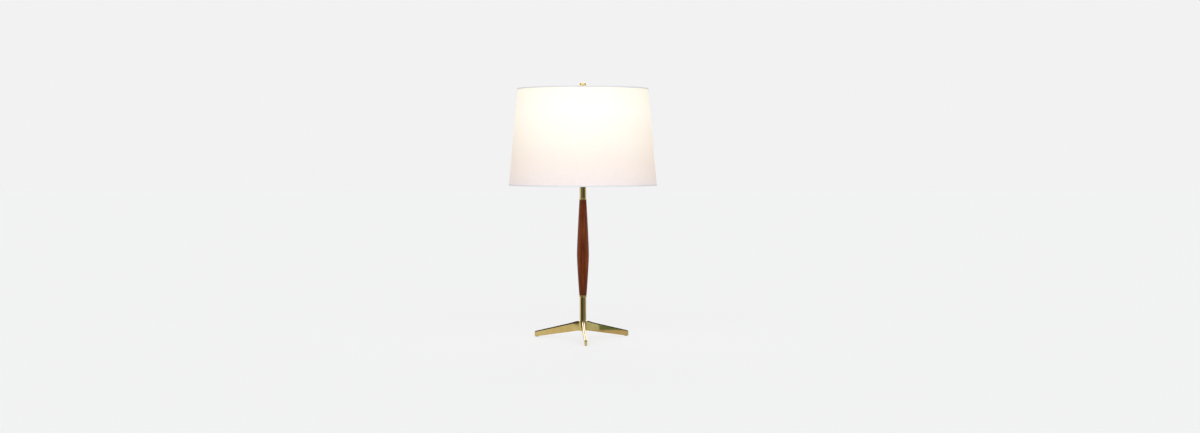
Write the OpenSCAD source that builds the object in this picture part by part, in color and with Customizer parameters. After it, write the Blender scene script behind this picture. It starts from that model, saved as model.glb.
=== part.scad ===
// Tripod table lamp: a turned wood column between brass tubes, on three flat brass legs,
// with a drum shade carried by a harp over a screw-base bulb.
// Z is up. The origin is on the table, on the column's axis. The front leg points to -Y.
// A hollow threaded pipe runs up the middle and clamps everything from hub to socket cap.

/* [Tripod] */
// Radius of the leg tips from the column's axis
leg_reach = 140; // [125:1:150]
// Thickness of a leg blade
leg_t = 6.5; // [5:0.1:7]
// Height of the blade's end face above the table, with its pad
leg_tip_h = 14.4; // [12:0.1:18]
// Length of the flat sole at a leg's tip
sole_len = 10; // [8:1:16]
// Radius at which a leg's top edge bends down from the hub
leg_bend_r = 38; // [30:1:50]
// Height of a leg's top edge at the bend
leg_bend_top = 39.9; // [38:0.1:42]
// Turn of the whole tripod about the column
tripod_turn = 3; // [-30:1:30]
// Thickness of the felt pad under each leg
pad_t = 1.5; // [1:0.1:2]
// Outside diameter of the hub that holds the legs
hub_d = 21; // [20.5:0.1:23]
// Height of the hub's lower face above the table
hub_z = 22; // [21:0.5:24]
// Height of the hub
hub_h = 25.5; // [25:0.1:28]

/* [Column] */
// Outside diameter of the brass tubes above and below the wood
tube_d = 17; // [16.5:0.1:17.5]
// Wall of the brass tubes
tube_wall = 1; // [0.8:0.1:1.5]
// Length of lower tube that shows between hub and ferrule
lower_tube_h = 61.8; // [40:0.1:90]
// Height of the lower ferrule
lower_ferrule_h = 4.4; // [4:0.1:6]
// Length of the turned wood
wood_h = 245.2; // [200:0.1:290]
// Greatest diameter of the wood
wood_d = 31.2; // [26:0.1:40]
// Height of the widest place above the wood's lower end
wood_belly = 105; // [80:1:140]
// Diameter of the wood's lower end
wood_low_d = 18.9; // [18:0.1:20]
// Diameter of the wood's upper end
wood_top_d = 18; // [17.6:0.1:19]
// Height of the upper ferrule
upper_ferrule_h = 4.9; // [4:0.1:6]
// Length of upper tube above its ferrule
upper_tube_h = 57.3; // [50:0.1:70]

/* [Threaded pipe] */
// Outside diameter of the hollow threaded pipe
pipe_d = 10; // [9.8:0.1:10.3]
// Bore of the pipe
pipe_bore = 7.2; // [7:0.1:7.4]
// Bore of the nylon bushing that the cord leaves by
cord_bore = 6; // [5.5:0.1:6.2]
// Width across the flats of the clamping nut
nut_af = 12.7; // [12:0.1:13]

/* [Socket and bulb] */
// Outside diameter of the socket's brass shell
socket_d = 33; // [32.5:0.1:33.5]
// Largest diameter of the bulb
bulb_d = 60; // [55:1:64]
// Diameter of the bulb's screw cap
bulb_cap_d = 26.2; // [25.9:0.1:26.4]

/* [Harp] */
// Height of the harp's seat above the saddle
harp_h = 207.7; // [203:0.1:215]
// Width of the harp over its wire centres
harp_w = 110; // [104:1:116]
// Diameter of the harp's wire
harp_wire = 3.6; // [3.2:0.1:3.8]
// Length of each sliding sleeve
sleeve_h = 14; // [12:0.5:14]

/* [Shade] */
// Diameter of the shade's lower rim
shade_low_d = 380; // [340:1:420]
// Diameter of the shade's upper rim
shade_top_d = 335; // [300:1:380]
// Height of the shade
shade_h = 248; // [230:1:250]
// Height of the upper rim above the spider's washer
shade_rise = 12.5; // [11:0.5:14]
// Height of the hem's outer fold
hem_out = 3.2; // [2.5:0.1:6]
// Height of the hem's inner fold
hem_in = 9; // [7:0.1:14]
// Height of the finial
finial_h = 26; // [25:0.5:32]
// Diameter of the finial's knob
finial_d = 17.2; // [15:0.1:20]

/* [Hidden] */
$fn = 96;
over = 1;           // how far a cutter runs past the face that it cuts
gap = 0.3;          // room between pieces that move past each other
turn_fit = 0.05;    // radial room of a shaft that turns in a bore
seam = 0.02;        // a bend in a wire is this much thicker than its straight runs
lap = 0.2;          // how far a straight run of wire reaches into its bends

// Levels of the stack, from the table up
hub_top = hub_z + hub_h;
lower_ferrule_z = hub_top + lower_tube_h;
wood_z = lower_ferrule_z + lower_ferrule_h;
wood_top = wood_z + wood_h;
upper_tube_z = wood_top + upper_ferrule_h;
upper_tube_top = upper_tube_z + upper_tube_h;
check_t = 3;
saddle_z = upper_tube_top + check_t;
saddle_t = 1.6;
cap_z = saddle_z + saddle_t;
seat_z = saddle_z + harp_h;
washer_z = seat_z + gap;
washer_t = 1.6;
finial_z = washer_z + washer_t + gap;
shade_top = washer_z + shade_rise;
shade_low = shade_top - shade_h;

// Tripod
tube_seat = 3;      // how deep a tube sits in the hub
tongue_t = 4;
tongue_z = hub_z + 8.5;
tongue_h = 12.5;
tongue_r = 6.6;
nut_room_r = 8.3;
nut_room_h = 7.3;
nut_t = 3.8;
washer_r = 7.5;
pipe_washer_t = 1;
pipe_end = hub_z + 1.2;
pipe_r = pipe_d / 2;
pipe_hole_r = pipe_r + 0.2;
tube_r = tube_d / 2;
pad_inset = 1;
leg_outline = [[hub_d / 2 - over, hub_top - 0.2], [hub_d / 2 + 4, hub_top - 0.4],
    [leg_bend_r, leg_bend_top], [leg_reach, leg_tip_h], [leg_reach, pad_t],
    [leg_reach - sole_len, pad_t], [hub_d / 2 - over, hub_z + 0.3]];

// Socket
neck_r = 7;
neck_h = 5.4;
dome_h = 11;
rim_h = 7;
sheet = 0.8;
socket_r = socket_d / 2;
cap_r = socket_r + sheet;
shell_wall = 0.5;
shell_z = cap_z + neck_h + dome_h + 1.5;
shell_h = 46;
shell_top = shell_z + shell_h;
liner_t = 0.8;
body_r = 14.6;
body_z = shell_z + 2.5;
body_h = 16.5;
body_top = body_z + body_h;
stem_z = body_z + 8;
stem_r = 2;
knob_y = -(cap_r + 2.2);
screw_shell_r = 13.95;
screw_wall = 0.5;
contact_z = body_top + 2.2;
bulb_z = contact_z + gap;
bulb_r = bulb_d / 2;
cap_low = bulb_z + 4.2;
cap_high = cap_low + 22.5;
glass_z = cap_high - 0.5;
glass_t = 0.8;
neck_glass_r = 13.5;
neck_angle = 35;
blend_r = 15;
ball_z = glass_z + 50;
stem_top = glass_z + 34;

// Harp
wire_r = harp_wire / 2;
prong_in = 22;
prong_t = 1.5;
prong_w = 3.6;
shoulder_z = saddle_z + 7.7;
sleeve_x = prong_in + 2.3;
sleeve_in = 3.15;
sleeve_r = 3.95;
sleeve_z = shoulder_z + gap;
prong_top = sleeve_z + sleeve_h;
wire_x = prong_in + prong_t + wire_r + 0.05;
leg_straight = prong_top + sleeve_h + 3;
bow_a = 30;
bow_r = 30;
bow_run = harp_w / 2 - wire_x - 2 * bow_r * (1 - cos(bow_a));
bow_rise = bow_run / tan(bow_a);
bow_top = leg_straight + 2 * bow_r * sin(bow_a) + bow_rise;
arch_r = 40;
arch_z = seat_z - 2 - wire_r;
stud_r = 3.1;

// Shade: each layer is named by its depth behind the shade's outer surface
hem_t = 0.4;
fabric_t = 0.5;
styrene_t = 0.6;
ring_r = 1.6;
fabric_d = hem_t;
styrene_d = fabric_d + fabric_t;
ring_d = styrene_d + styrene_t;
hem_d = ring_d + 2 * ring_r;
ring_low = shade_low + hem_t + ring_r;
ring_high = shade_top - hem_t - ring_r;
spider_washer_r = 12;
arm_z = washer_z + washer_t / 2;
arm_bend_r = 148;
arm_r = 1.4;
arm_back = 90;
arm_left = 210;
arm_right = 330;
knob_h = 9;
knob_round = 3.2;
button_r = 1.8;
button_h = 1;

// The shade's outer radius at a height, less a depth
function shade_r(z, depth = 0) =
    shade_low_d / 2 - (z - shade_low) * (shade_low_d - shade_top_d) / 2 / shade_h - depth;

// Points of an arc about c, from angle a to angle b
function arc(c, r, a, b, steps) =
    [for (i = [0:steps]) c + r * [cos(a + (b - a) * i / steps), sin(a + (b - a) * i / steps)]];

// Radius of the wood at a height above its lower end: full at the belly, narrow at the ends
function wood_r(h) =
    h < wood_belly
        ? wood_d / 2 - (wood_d - wood_low_d) / 2 * pow(1 - h / wood_belly, 1.3)
        : wood_d / 2
            - (wood_d - wood_top_d) / 2 * pow((h - wood_belly) / (wood_h - wood_belly), 1.3);

// A solid turned from an outline of [radius, height] points
module turned(points) rotate_extrude() polygon(points);

// A tube from height z
module tube(z, h, outer, inner)
    translate([0, 0, z]) difference() {
        cylinder(h = h, r = outer);
        translate([0, 0, -over]) cylinder(h = h + 2 * over, r = inner);
    }

// A round bar between two points of the XZ plane, reaching a lap past each
module bar(p, q, r) {
    d = q - p;
    translate([p[0], 0, p[1]]) rotate([0, atan2(d[0], d[1]), 0]) translate([0, 0, -lap])
        cylinder(h = norm(d) + 2 * lap, r = r);
}

// A bent piece of round bar in the XZ plane, about c, from angle a over a turn
module bend(c, r, a, turn, bar_r)
    translate([c[0], 0, c[1]]) rotate([90, 0, 0]) rotate([0, 0, a])
        rotate_extrude(angle = turn) translate([r, 0]) circle(r = bar_r + seam);

// ---- tripod ----

module around_tripod(n) rotate([0, 0, tripod_turn - 90 + 120 * n]) children();

module leg(n) color("goldenrod") around_tripod(n) {
    difference() {
        rotate([90, 0, 0]) translate([0, 0, -leg_t / 2]) linear_extrude(leg_t)
            polygon(leg_outline);
        translate([0, 0, hub_z - over]) cylinder(h = hub_h + 2 * over, r = hub_d / 2);
    }
    tongue(hub_d / 2 + over);
}

// The tongue that joins a leg to the hub, out to radius r
module tongue(r)
    translate([tongue_r, -tongue_t / 2, tongue_z]) cube([r - tongue_r, tongue_t, tongue_h]);

module foot_pads() color("black")
    for (n = [0:2]) around_tripod(n)
        translate([leg_reach - sole_len + pad_inset, -leg_t / 2 + pad_inset / 2, 0])
            cube([sole_len - 2 * pad_inset, leg_t - pad_inset, pad_t]);

module hub() color("goldenrod") difference() {
    turned([[pipe_hole_r, hub_z], [hub_d / 2 - 0.8, hub_z], [hub_d / 2, hub_z + 0.8],
        [hub_d / 2, hub_top - 0.8], [hub_d / 2 - 0.8, hub_top], [pipe_hole_r, hub_top]]);
    translate([0, 0, hub_z - over]) cylinder(h = nut_room_h + over, r = nut_room_r);
    translate([0, 0, hub_top - tube_seat]) cylinder(h = tube_seat + over, r = tube_r);
    for (n = [0:2]) around_tripod(n) tongue(hub_d);
}

module pipe_washer() color("silver")
    tube(hub_z + nut_room_h - pipe_washer_t, pipe_washer_t, washer_r, pipe_r);

module pipe_nut() color("silver")
    translate([0, 0, hub_z + nut_room_h - pipe_washer_t - nut_t]) difference() {
        cylinder(h = nut_t, r = nut_af / 2 / cos(30), $fn = 6);
        translate([0, 0, -over]) cylinder(h = nut_t + 2 * over, r = pipe_r);
    }

module cord_bushing() color("ivory")
    turned([[cord_bore / 2, hub_z], [4.6, hub_z], [4.6, pipe_end], [pipe_bore / 2, pipe_end],
        [pipe_bore / 2, pipe_end + 8], [cord_bore / 2, pipe_end + 8]]);

module threaded_pipe() color("silver")
    tube(pipe_end, cap_z + neck_h + 4 - pipe_end, pipe_r, pipe_bore / 2);

// ---- column ----

module lower_tube() color("gold")
    tube(hub_top - tube_seat, lower_tube_h + tube_seat + 1.8, tube_r, tube_r - tube_wall);

module lower_ferrule() color("goldenrod") {
    z = lower_ferrule_z;
    turned([[tube_r, z], [9.4, z], [10, z + 0.7], [10, wood_z - 0.7], [9.6, wood_z],
        [pipe_hole_r, wood_z], [pipe_hole_r, z + 1.8], [tube_r, z + 1.8]]);
}

module wood_column() color("saddlebrown") {
    steps = 40;
    turned([[pipe_hole_r, wood_z],
        for (i = [0:steps]) [wood_r(wood_h * i / steps), wood_z + wood_h * i / steps],
        [pipe_hole_r, wood_top]]);
}

module upper_ferrule() color("goldenrod") {
    z = upper_tube_z;
    turned([[pipe_hole_r, wood_top], [9.3, wood_top], [9.7, wood_top + 0.6],
        [9.7, wood_top + 2.4], [9.1, z - 0.6], [8.9, z], [tube_r, z], [tube_r, z - 2.4],
        [pipe_hole_r, z - 2.4]]);
}

module upper_tube() color("gold")
    tube(upper_tube_z - 2.4, upper_tube_h + 2.4, tube_r, tube_r - tube_wall);

module check_ring() color("goldenrod") {
    z = upper_tube_top;
    turned([[tube_r, z - 1.5], [9.6, z - 1.5], [10, z - 1.1], [10, saddle_z - 0.5],
        [9.5, saddle_z], [pipe_r, saddle_z], [pipe_r, z], [tube_r, z]]);
}

// ---- harp ----

module harp_saddle() color("darkgoldenrod") {
    difference() {
        union() {
            translate([0, 0, saddle_z]) cylinder(h = saddle_t, r = 10);
            translate([-prong_in - prong_t, -4.5, saddle_z])
                cube([2 * (prong_in + prong_t), 9, saddle_t]);
        }
        translate([0, 0, saddle_z - over]) cylinder(h = saddle_t + 2 * over, r = pipe_r);
    }
    for (side = [0, 1]) mirror([side, 0, 0]) translate([prong_in, 0, 0]) {
        translate([0, -4.5, saddle_z]) cube([prong_t, 9, shoulder_z - saddle_z]);
        translate([0, -prong_w / 2, saddle_z]) cube([prong_t, prong_w, prong_top - saddle_z]);
    }
}

// Half of the harp's wire loop, on the +X side
module harp_half() {
    out_x = wire_x + bow_r * (1 - cos(bow_a));
    out_z = leg_straight + bow_r * sin(bow_a);
    bar([wire_x, shoulder_z + 2.5], [wire_x, leg_straight], wire_r);
    bend([wire_x + bow_r, leg_straight], bow_r, 180 - bow_a, bow_a, wire_r);
    bar([out_x, out_z], [out_x + bow_run, out_z + bow_rise], wire_r);
    bend([harp_w / 2 - bow_r, bow_top], bow_r, -bow_a, bow_a, wire_r);
    bar([harp_w / 2, bow_top], [harp_w / 2, arch_z - arch_r], wire_r);
    bend([harp_w / 2 - arch_r, arch_z - arch_r], arch_r, 0, 90, wire_r);
    bar([0, arch_z], [harp_w / 2 - arch_r, arch_z], wire_r);
}

module harp() color("darkgoldenrod") for (side = [0, 1]) mirror([side, 0, 0]) harp_half();

module harp_stud() color("darkgoldenrod") {
    difference() {
        translate([0, 0, arch_z + 0.6]) cylinder(h = seat_z - arch_z - 0.6, r = 8);
        bar([-10, arch_z], [10, arch_z], wire_r);
    }
    translate([0, 0, seat_z - over]) cylinder(h = over + 13.5, r = stud_r);
}

module sleeve(x) color("goldenrod") translate([x, 0, 0]) tube(sleeve_z, sleeve_h, sleeve_r, sleeve_in);

// ---- socket ----

// Outline of the cap's curved side at a depth behind its outer surface, from neck to rim
function dome(depth) = [for (a = [0:10:90])
    [neck_r - depth + (cap_r - neck_r) * sin(a),
        cap_z + neck_h + dome_h - (dome_h - depth) * cos(a)]];

module socket_cap() color("goldenrod") {
    rim = cap_z + neck_h + dome_h + rim_h;
    difference() {
        turned([[pipe_r, cap_z], [neck_r, cap_z], each dome(0), [cap_r, rim],
            [socket_r, rim], for (i = [9:-1:0]) dome(sheet)[i],
            [pipe_r, cap_z + neck_h + sheet]]);
        translate([0, 0, cap_z + neck_h / 2]) rotate([90, 0, 0]) cylinder(h = 20, r = 1.25);
    }
}

module cap_screw() color("silver")
    translate([0, 0, cap_z + neck_h / 2]) rotate([90, 0, 0]) {
        translate([0, 0, pipe_r]) cylinder(h = neck_r - pipe_r + 0.5, r = 1.25);
        translate([0, 0, neck_r + 0.5]) difference() {
            cylinder(h = 1.6, r = 2.2);
            translate([-3, -0.3, 0.9]) cube([6, 0.6, 2]);
        }
    }

module stem_hole(r) translate([0, 0, stem_z]) rotate([90, 0, 0]) cylinder(h = 20, r = r);

module socket_shell() color("gold") difference() {
    turned([[socket_r - shell_wall, shell_z], [socket_r, shell_z], [socket_r, shell_top - 2],
        [socket_r + 0.6, shell_top - 1.4], [socket_r + 0.6, shell_top - 0.5],
        [socket_r, shell_top], [socket_r - shell_wall, shell_top]]);
    stem_hole(2.8);
}

module shell_liner() color("tan") difference() {
    tube(body_z, shell_top - 2 - body_z, socket_r - shell_wall, socket_r - shell_wall - liner_t);
    stem_hole(2.8);
}

module socket_body() color("dimgray") difference() {
    translate([0, 0, body_z]) cylinder(h = body_h, r = body_r);
    stem_hole(stem_r + turn_fit);
    // flats for the two terminal screws
    for (side = [0, 1]) mirror([side, 0, 0])
        translate([11.8, -5, stem_z - 5]) cube([5, 10, 10]);
    for (side = [0, 1]) mirror([side, 0, 0])
        translate([5, 0, stem_z]) rotate([0, 90, 0]) cylinder(h = 8, r = 1.6);
    // clearance for the pipe's end and the two wires
    translate([0, 0, body_z - over]) cylinder(h = 3 + over, r = 7);
}

module screw_shell() color("silver")
    turned([[3.5, body_top], [screw_shell_r, body_top], [screw_shell_r, body_top + 22],
        [screw_shell_r - screw_wall, body_top + 22], [screw_shell_r - screw_wall, body_top + 0.6],
        [3.5, body_top + 0.6]]);

module centre_contact() color("gold") {
    translate([0, 0, body_top]) cylinder(h = 1, r = 2.8);
    translate([0, 0, body_top]) cylinder(h = contact_z - body_top, r = 1.8);
}

module terminal_screws() color("silver")
    for (side = [0, 1]) mirror([side, 0, 0]) translate([0, 0, stem_z]) rotate([0, 90, 0]) {
        translate([0, 0, 6]) cylinder(h = 6, r = 1.6);
        translate([0, 0, 12]) difference() {
            cylinder(h = 1.9, r = 3);
            translate([-4, -0.4, 1]) cube([8, 0.8, 2]);
        }
    }

module switch_stem() color("silver")
    translate([0, -6, stem_z]) rotate([90, 0, 0]) cylinder(h = -6 - knob_y, r = stem_r);

module switch_knob() color("black")
    translate([0, knob_y, stem_z]) rotate([90, 0, 0]) {
        cylinder(h = 5, r = 4.6);
        // the thumb piece, a flat plate with round corners
        rotate([90, 0, 90]) translate([0, 0, -1.8]) linear_extrude(3.6) {
            translate([-7.5, 4]) square([15, 6.5]);
            translate([-5, 4]) square([10, 9]);
            for (x = [-5, 5]) translate([x, 10.5]) circle(r = 2.5);
        }
    }

// ---- bulb ----

// The glass outline at a depth behind its outer surface, from neck to crown
function glass(depth) =
    let (foot = ball_z - bulb_r * sin(neck_angle)
            - (bulb_r * cos(neck_angle) - neck_glass_r) / tan(neck_angle),
        blend_z = foot - blend_r * tan(neck_angle / 2))
    [[neck_glass_r - depth, glass_z],
        each arc([neck_glass_r + blend_r, blend_z], blend_r + depth, 180, 180 - neck_angle, 6),
        each arc([0, ball_z], bulb_r - depth, -neck_angle, 90, 24)];

module bulb_glass() color("white") {
    inner = glass(glass_t);
    turned([each glass(0), for (i = [len(inner) - 1:-1:0]) inner[i]]);
}

// The two wires that hold the filament, sealed in the stem's top
module lead_wires(r) for (side = [0, 1]) mirror([side, 0, 0])
    bar([1.4, stem_top - 2], [10, stem_top + 16], r);

module bulb_stem() color("lightcyan") difference() {
    union() {
        translate([0, 0, glass_z]) cylinder(h = 1.5, r = neck_glass_r - glass_t - 0.1);
        translate([0, 0, glass_z]) cylinder(h = stem_top - glass_z, r = 3.2);
    }
    lead_wires(0.6);
}

module bulb_filament() color("gray") {
    lead_wires(0.5);
    bend([0, stem_top + 16], 10, 0, 180, 0.6);
}

module bulb_cap() color("silver")
    turned([[9.5, cap_low], [bulb_cap_d / 2 - 1.2, cap_low], [bulb_cap_d / 2, cap_low + 2],
        [bulb_cap_d / 2, glass_z], [bulb_cap_d / 2 - 0.4, glass_z],
        [bulb_cap_d / 2 - 0.4, cap_low + 2.2], [9.5, cap_low + 0.5]]);

module bulb_insulator() color("black")
    turned([[0, bulb_z + 1], [4.8, bulb_z + 1], [9.5, cap_low], [9.5, cap_low + 0.5], [0, cap_low + 0.5]]);

module bulb_contact() color("silver") translate([0, 0, bulb_z]) cylinder(h = 1, r = 4.6);

// ---- shade ----

// One wall of the shade between two heights and two depths
module wall(low, high, near, far)
    turned([[shade_r(low, near), low], [shade_r(high, near), high], [shade_r(high, far), high],
        [shade_r(low, far), low]]);

module wire_ring(z) translate([0, 0, z]) rotate_extrude()
    translate([shade_r(z, ring_d + ring_r), 0]) circle(r = ring_r);

module spider_washer() color("gainsboro") tube(washer_z, washer_t, spider_washer_r, stud_r + 0.4);

// An arm's wire of radius r, level from the washer and then up to the upper ring
module arm_wire(a, r) rotate([0, 0, a]) {
    bar([spider_washer_r - 1, arm_z], [arm_bend_r, arm_z], r);
    translate([arm_bend_r, 0, arm_z]) sphere(r = r + seam);
    bar([arm_bend_r, arm_z], [shade_r(ring_high, ring_d + ring_r), ring_high], r);
}

module arm(a) color("gainsboro") difference() {
    arm_wire(a, arm_r);
    translate([0, 0, arm_z - 5]) cylinder(h = 10, r = spider_washer_r);
    wire_ring(ring_high);
}

module top_ring() color("gainsboro") wire_ring(ring_high);

module bottom_ring() color("gainsboro") wire_ring(ring_low);

module shade_liner() color("white")
    wall(shade_low + hem_t, shade_top - hem_t, styrene_d, ring_d);

module shade_fabric() color("linen")
    wall(shade_low + hem_t, shade_top - hem_t, fabric_d, styrene_d);

// A hem folded round the rim at height z; way is 1 where the shade is above the rim
module hem(z, way) {
    out = z + way * hem_out;
    in = z + way * hem_in;
    turn = z + way * hem_t;
    turned([[shade_r(z), z], [shade_r(out), out], [shade_r(out, fabric_d), out],
        [shade_r(turn, fabric_d), turn], [shade_r(turn, hem_d), turn], [shade_r(in, hem_d), in],
        [shade_r(in, hem_d + hem_t), in], [shade_r(z, hem_d + hem_t), z]]);
}

module bottom_hem() color("antiquewhite") hem(shade_low, 1);

module top_hem() color("antiquewhite") difference() {
    hem(shade_top, -1);
    for (a = [arm_back, arm_left, arm_right]) arm_wire(a, arm_r + 0.1);
}

module finial() color("goldenrod") {
    top = finial_z + finial_h;
    crown = top - button_h;
    low = crown - knob_h;
    knob_r = finial_d / 2;
    turned([[stud_r + turn_fit, finial_z], [5.4, finial_z], [6, finial_z + 0.7],
        [6, finial_z + 2.2], [5, finial_z + 3.2], [4.6, finial_z + 5],
        [4.6, low - 2.4], [5.6, low - 1.6], [5.6, low],
        each arc([knob_r - knob_round, low + knob_round], knob_round, -90, 0, 5),
        each arc([knob_r - knob_round, crown - knob_round], knob_round, 0, 90, 5),
        [button_r, crown], [button_r, top - 0.5], [button_r - 0.5, top],
        [0, top], [0, finial_z + 13.2], [stud_r + turn_fit, finial_z + 13.2]]);
}

foot_pads();
leg(0);  // leg_front
leg(1);  // leg_right
leg(2);  // leg_left
hub();
pipe_washer();
pipe_nut();
cord_bushing();
threaded_pipe();
lower_tube();
lower_ferrule();
wood_column();
upper_ferrule();
upper_tube();
check_ring();
harp_saddle();
harp();
harp_stud();
sleeve(-sleeve_x);  // sleeve_left
sleeve(sleeve_x);  // sleeve_right
socket_cap();
cap_screw();
socket_shell();
shell_liner();
socket_body();
screw_shell();
centre_contact();
terminal_screws();
switch_stem();
switch_knob();
bulb_glass();
bulb_stem();
bulb_filament();
bulb_cap();
bulb_insulator();
bulb_contact();
spider_washer();
arm(arm_back);
arm(arm_left);
arm(arm_right);
top_ring();
bottom_ring();
shade_liner();
shade_fabric();
top_hem();
bottom_hem();
finial();
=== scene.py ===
# %% [markdown]
# # A tripod table lamp, dressed round its solids
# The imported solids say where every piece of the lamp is. This notebook gives those pieces their
# looks: turned brass, lacquered wood, felt, wire, glass and a lit fabric shade. A piece that shows
# is modelled again with soft edges and fine detail, and stands for its solid. A small piece inside
# the shade keeps its solid and only gets a finish. All lengths here are millimetres times MM.

# %% Load the frame
import math
import bmesh
import bpy
from mathutils import Matrix, Vector


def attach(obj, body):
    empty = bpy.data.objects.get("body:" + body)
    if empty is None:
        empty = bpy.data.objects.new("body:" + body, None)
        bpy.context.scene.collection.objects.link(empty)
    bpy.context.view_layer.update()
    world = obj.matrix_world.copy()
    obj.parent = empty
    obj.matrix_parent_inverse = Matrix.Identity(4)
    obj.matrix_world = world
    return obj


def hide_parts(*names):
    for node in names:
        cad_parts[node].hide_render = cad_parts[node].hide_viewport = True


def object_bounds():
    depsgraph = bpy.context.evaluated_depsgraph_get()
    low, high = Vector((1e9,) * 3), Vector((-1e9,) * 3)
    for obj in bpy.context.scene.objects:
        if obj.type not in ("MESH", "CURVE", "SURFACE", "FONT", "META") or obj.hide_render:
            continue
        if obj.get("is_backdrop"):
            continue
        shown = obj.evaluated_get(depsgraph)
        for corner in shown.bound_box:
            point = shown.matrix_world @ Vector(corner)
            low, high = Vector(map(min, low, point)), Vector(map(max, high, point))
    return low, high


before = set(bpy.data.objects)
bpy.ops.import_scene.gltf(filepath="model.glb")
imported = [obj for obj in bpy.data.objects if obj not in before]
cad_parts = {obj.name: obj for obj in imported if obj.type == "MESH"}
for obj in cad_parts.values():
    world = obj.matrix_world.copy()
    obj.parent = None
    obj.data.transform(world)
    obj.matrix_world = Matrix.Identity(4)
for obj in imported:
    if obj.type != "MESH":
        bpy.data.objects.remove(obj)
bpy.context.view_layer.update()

MM = 0.001
scene = bpy.context.scene
scene.view_settings.view_transform = "Standard"

# %% [markdown]
# ## The camera
# The two rims of the shade are ellipses in the picture, and the lower one is rounder. How much
# rounder says how high the camera stood, and the feet say how far away. It stood 4 m in front, at
# 484 mm, with a long lens. A small turn to the right leaves the lamp left of the middle, as it is
# in the picture, so the camera needs no lens shift.

# %% Place the camera
DISTANCE, EYE_HEIGHT, PITCH, TURN = 4.0, 0.484, 2.40, -0.629
camera_data = bpy.data.cameras.new("photo_camera")
camera_data.sensor_width = 36
camera_data.lens = 46.75
camera = bpy.data.objects.new("photo_camera", camera_data)
camera.location = (0, -DISTANCE, EYE_HEIGHT)
camera.rotation_euler = (math.radians(90 - PITCH), 0, math.radians(TURN))
scene.collection.objects.link(camera)
scene.camera = camera
across = DISTANCE * camera_data.sensor_width / camera_data.lens
print("camera sees", round(across, 2), "m across at the lamp")

# %% [markdown]
# ## Node helpers
# Each finish below is a small network of nodes. These helpers add one node, or the few nodes of a
# common step, and return the socket that carries the result. Patterns read Object coordinates,
# which are metres here, so a scale of 1000 makes features of about a millimetre.

# %% Helpers that add nodes
def add(tree, kind, values=None, **settings):
    """Adds a node with its settings and the values of its sockets."""
    node = tree.nodes.new(kind)
    for name, value in settings.items():
        setattr(node, name, value)
    for name, value in (values or {}).items():
        node.inputs[name].default_value = value
    return node


def connect(tree, source, target):
    tree.links.new(source, target)


def parts_of(tree, source=None):
    """The X, Y and Z of Object coordinates, or of another vector."""
    parts = add(tree, "ShaderNodeSeparateXYZ")
    if source is None:
        source = add(tree, "ShaderNodeTexCoord").outputs["Object"]
    connect(tree, source, parts.inputs["Vector"])
    return parts.outputs


def stretched(tree, scale, turn=0.0, source=None):
    """Object coordinates, turned about Z by a number of degrees and then scaled on each axis."""
    if source is None:
        source = add(tree, "ShaderNodeTexCoord").outputs["Object"]
    turned = add(tree, "ShaderNodeMapping", {"Rotation": (0, 0, math.radians(turn))})
    scaled = add(tree, "ShaderNodeMapping", {"Scale": scale})
    connect(tree, source, turned.inputs["Vector"])
    connect(tree, turned.outputs["Vector"], scaled.inputs["Vector"])
    return scaled.outputs["Vector"]


def noise(tree, vector, detail=3.0, rough=0.55):
    """Soft noise, whose size and stretch come from the vector alone."""
    node = add(tree, "ShaderNodeTexNoise", {"Scale": 1.0, "Detail": detail, "Roughness": rough})
    connect(tree, vector, node.inputs["Vector"])
    return node.outputs["Fac"]


def remap(tree, value, low, high, start=0.35, end=0.65):
    """Stretches a value from between start and end to between low and high."""
    node = add(tree, "ShaderNodeMapRange",
               {"From Min": start, "From Max": end, "To Min": low, "To Max": high})
    connect(tree, value, node.inputs["Value"])
    return node.outputs["Result"]


def ramp(tree, value, stops):
    """A colour ramp through (position, colour) stops."""
    node = add(tree, "ShaderNodeValToRGB")
    while len(node.color_ramp.elements) < len(stops):
        node.color_ramp.elements.new(0.5)
    for element, (position, colour) in zip(node.color_ramp.elements, stops):
        element.position = position
        element.color = (*colour, 1)
    connect(tree, value, node.inputs["Fac"])
    return node.outputs["Color"]


def blend_colours(tree, factor, first, second):
    node = add(tree, "ShaderNodeMix", data_type="RGBA")
    for socket, colour in ((node.inputs[6], first), (node.inputs[7], second)):
        if isinstance(colour, tuple):
            socket.default_value = (*colour, 1)
        else:
            connect(tree, colour, socket)
    connect(tree, factor, node.inputs["Factor"])
    return node.outputs[2]


def calculate(tree, operation, first, second=None):
    node = add(tree, "ShaderNodeMath", operation=operation)
    for socket, value in zip(node.inputs, (first, second)):
        if isinstance(value, (int, float)):
            socket.default_value = value
        elif value is not None:
            connect(tree, value, socket)
    return node.outputs["Value"]


def between(tree, value, low, high, soft):
    """1 while value lies between low and high, fading to 0 over soft outside them."""
    return calculate(tree, "MULTIPLY", remap(tree, value, 0.0, 1.0, low - soft, low),
                     remap(tree, value, 1.0, 0.0, high, high + soft))


def raise_surface(tree, shader, height, distance):
    """A bump whose full height is distance, in millimetres."""
    node = add(tree, "ShaderNodeBump", {"Strength": 1.0, "Distance": distance * MM})
    connect(tree, height, node.inputs["Height"])
    connect(tree, node.outputs["Normal"], shader.inputs["Normal"])


def finish_of(name, metallic=0.0, **sockets):
    """A new material, its tree and its shader, with plain values set on the shader."""
    material = bpy.data.materials.new(name)
    material.use_nodes = True
    shader = material.node_tree.nodes["Principled BSDF"]
    shader.inputs["Metallic"].default_value = metallic
    for socket, value in sockets.items():
        shader.inputs[socket.replace("_", " ").title().replace("Ior", "IOR")].default_value = value
    return material, material.node_tree, shader

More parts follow.
